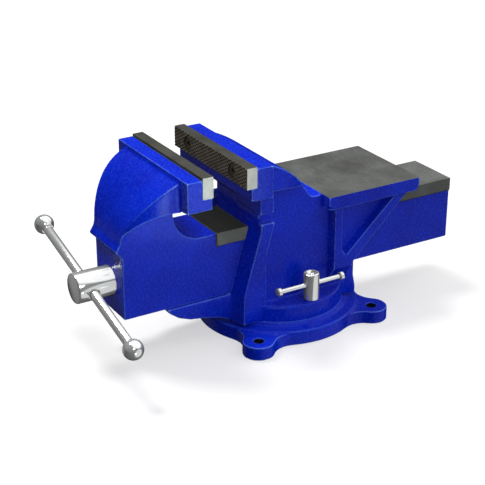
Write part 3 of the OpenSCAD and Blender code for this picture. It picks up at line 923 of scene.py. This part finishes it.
def lock_bar_caps(hand, x, bar_r, bar_z):
    """The two caps on a lock's cross bar."""
    low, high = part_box("lock_bar_caps_" + hand)
    cap_r = (high.z - low.z) / 2
    cap = [(0, 0), (bar_r + 0.6 * MM, 0), (cap_r, 1.2 * MM), (cap_r, 4.4 * MM), (cap_r - 0.5 * MM, 5 * MM),
           (bar_r - 0.2 * MM, 5 * MM), (0, 5 * MM)]
    near, far = (turned(cap, 48, 0, (0, direction, 0), (x, y, bar_z))
                 for y, direction in ((low.y, 1), (high.y, -1)))
    piece = new_object("lock_bar_caps_%s_turned" % hand, to_mesh("caps", near), bright["y"])
    add_shapes(piece, far)
    put_on(shade(piece, 30), "bar_" + hand, "bright_steel", "lock_bar_caps_" + hand)


def swivel_lock(side, hand):
    """Lock bolt, its cross bar and the bar's caps."""
    x = side * lock_x
    low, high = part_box("lock_bar_" + hand)
    bar_r, bar_z = (high.x - low.x) / 2, (high.z + low.z) / 2
    lock_bolt(hand, x, bar_r, bar_z)
    bar = turned(round_edge(bar_r, 0, high.y - low.y, 0.3 * MM), 48, 0, (0, 1, 0), (x, low.y, bar_z))
    piece = new_object("lock_bar_%s_turned" % hand, to_mesh("bar", bar), bright["y"])
    put_on(shade(piece, 30), "bar_" + hand, "bright_steel", "lock_bar_" + hand)
    lock_bar_caps(hand, x, bar_r, bar_z)


thrust_spring()
swivel_lock(1, "right")
swivel_lock(-1, "left")

# CAD nodes that stay as they are get a better finish
finishes = {"dark_steel": dark, "bright_steel": bright["z"], "machined_iron": machined}
for part in frame["record"]["subparts"]:
    if part["material_slot"] in finishes:
        kept = nodes[part["node"]]
        if kept.data.materials:
            kept.material_slots[0].material = finishes[part["material_slot"]]
        else:
            kept.data.materials.append(finishes[part["material_slot"]])


# ---------------------------------------------------------------- floor, light and camera

def floor():
    """Pale floor, which glows a little so that shadows on it stay light."""
    material, _, shader = new_material("pale_floor", Roughness=0.9, Specular_IOR_Level=0.1)
    shader.inputs["Base Color"].default_value = (0.45, 0.45, 0.45, 1)
    shader.inputs["Emission Color"].default_value = (1, 1, 1, 1)
    shader.inputs["Emission Strength"].default_value = 0.55
    half, thickness = 30, 0.02
    slab = new_object("floor", to_mesh("floor", block((-half, -half, -thickness), (half, half, 0))), material)
    slab.visible_diffuse = slab.visible_glossy = False


def point_at(light, towards):
    """Turns a light so that it shines from the direction towards, back to the object."""
    light.rotation_euler = Vector(towards).to_track_quat("Z", "Y").to_euler()


def new_light(name, data):
    light = bpy.data.objects.new(name, data)
    bpy.context.scene.collection.objects.link(light)
    return light


def soft_sun(name, towards, spread, strength):
    """Light from far away, as wide as a large soft box. towards points from the object to the light."""
    data = bpy.data.lights.new(name, "SUN")
    data.angle = math.radians(spread)
    data.energy = strength
    point_at(new_light(name, data), towards)


def soft_panel(name, place, target, size, spread, power, colour=(1, 1, 1)):
    """Square lamp near the object, hidden from the camera."""
    data = bpy.data.lights.new(name, "AREA")
    data.size = size
    data.spread = math.radians(spread)
    data.energy = power
    data.color = colour
    light = new_light(name, data)
    light.location = place
    light.visible_camera = False
    point_at(light, Vector(place) - Vector(target))


def soft_box(tree, place, towards, inner, outer, radiance):
    """A large round lamp of the studio: full out to the inner angle, fading to nothing at the outer one."""
    facing = tree.nodes.new("ShaderNodeVectorMath")
    facing.operation = "DOT_PRODUCT"
    facing.inputs[1].default_value = Vector(towards).normalized()
    tree.links.new(place, facing.inputs[0])
    outer_dot, inner_dot = math.cos(math.radians(outer)), math.cos(math.radians(inner))
    spot = ramp(tree, facing.outputs["Value"], (outer_dot, 0.0), (inner_dot, 1.0))
    scaled = tree.nodes.new("ShaderNodeVectorMath")
    scaled.operation = "SCALE"
    scaled.inputs["Scale"].default_value = radiance
    tree.links.new(spot, scaled.inputs[0])
    return scaled.outputs["Vector"]


# Direction, inner angle, outer angle and radiance of each round lamp. A lamp below the horizon stands for
# light that the pale floor sends up, because the floor itself is kept out of diffuse and mirror reflections.
soft_boxes = (
    ((0.10, 0.46, 0.88), 43, 50, 1.15),         # overhead, a little behind
    ((0.75, 0.45, -0.40), 34, 42, 0.72),        # from the floor on the right
    ((0.5, -0.2, -0.85), 50, 80, 0.10),         # from the floor under the object
    ((-0.78, -0.46, -0.41), 10, 24, 0.22),      # from the floor on the left
    ((0, 0, 1), 88, 89, 0.10))                  # the dim room above


def surroundings():
    """Studio of round soft lamps. The camera itself sees plain white."""
    world = bpy.data.worlds.new("studio")
    bpy.context.scene.world = world
    world.use_nodes = True
    tree = world.node_tree
    place = tree.nodes.new("ShaderNodeTexCoord").outputs["Generated"]
    total = soft_box(tree, place, *soft_boxes[0])
    for lamp in soft_boxes[1:]:
        joined = tree.nodes.new("ShaderNodeVectorMath")
        tree.links.new(total, joined.inputs[0])
        tree.links.new(soft_box(tree, place, *lamp), joined.inputs[1])
        total = joined.outputs["Vector"]
    seen = tree.nodes.new("ShaderNodeLightPath").outputs["Is Camera Ray"]
    tree.links.new(blend_colours(tree, seen, total, (1, 1, 1)), tree.nodes["Background"].inputs["Color"])
    tree.nodes["Background"].inputs["Strength"].default_value = 1


def camera():
    """The photograph's viewing angle."""
    data = bpy.data.cameras.new("camera")
    data.sensor_width = 36
    data.lens = 98.17
    data.clip_end = 50
    eye = bpy.data.objects.new("camera", data)
    bpy.context.scene.collection.objects.link(eye)
    eye.location = (1.10449, -0.70247, 0.67000)
    target = Vector((0.04108, -0.06834, 0.11140))
    eye.rotation_euler = (target - eye.location).to_track_quat("-Z", "Y").to_euler()
    bpy.context.scene.camera = eye


floor()
surroundings()
soft_sun("key", (-0.40, -0.17, 0.90), 18, 2.3)
soft_panel("fill", (0.62, -0.36, 0.46), (0.03, -0.05, 0.10), 0.20, 80, 0.20)
# Two small tinted lamps give the sheen on the painted ends of the moving jaw
soft_panel("bar_sheen", (0.348, 0.02, 0.045), (0.075, -0.14, 0.190), 0.14, 26, 0.008, (0.75, 1.0, 0.95))
soft_panel("wing_sheen", (0.324, -0.19, 0.047), (0.057, -0.17, 0.185), 0.14, 26, 0.022, (0.75, 1.0, 0.85))
camera()
bpy.context.scene.view_settings.view_transform = "Standard"
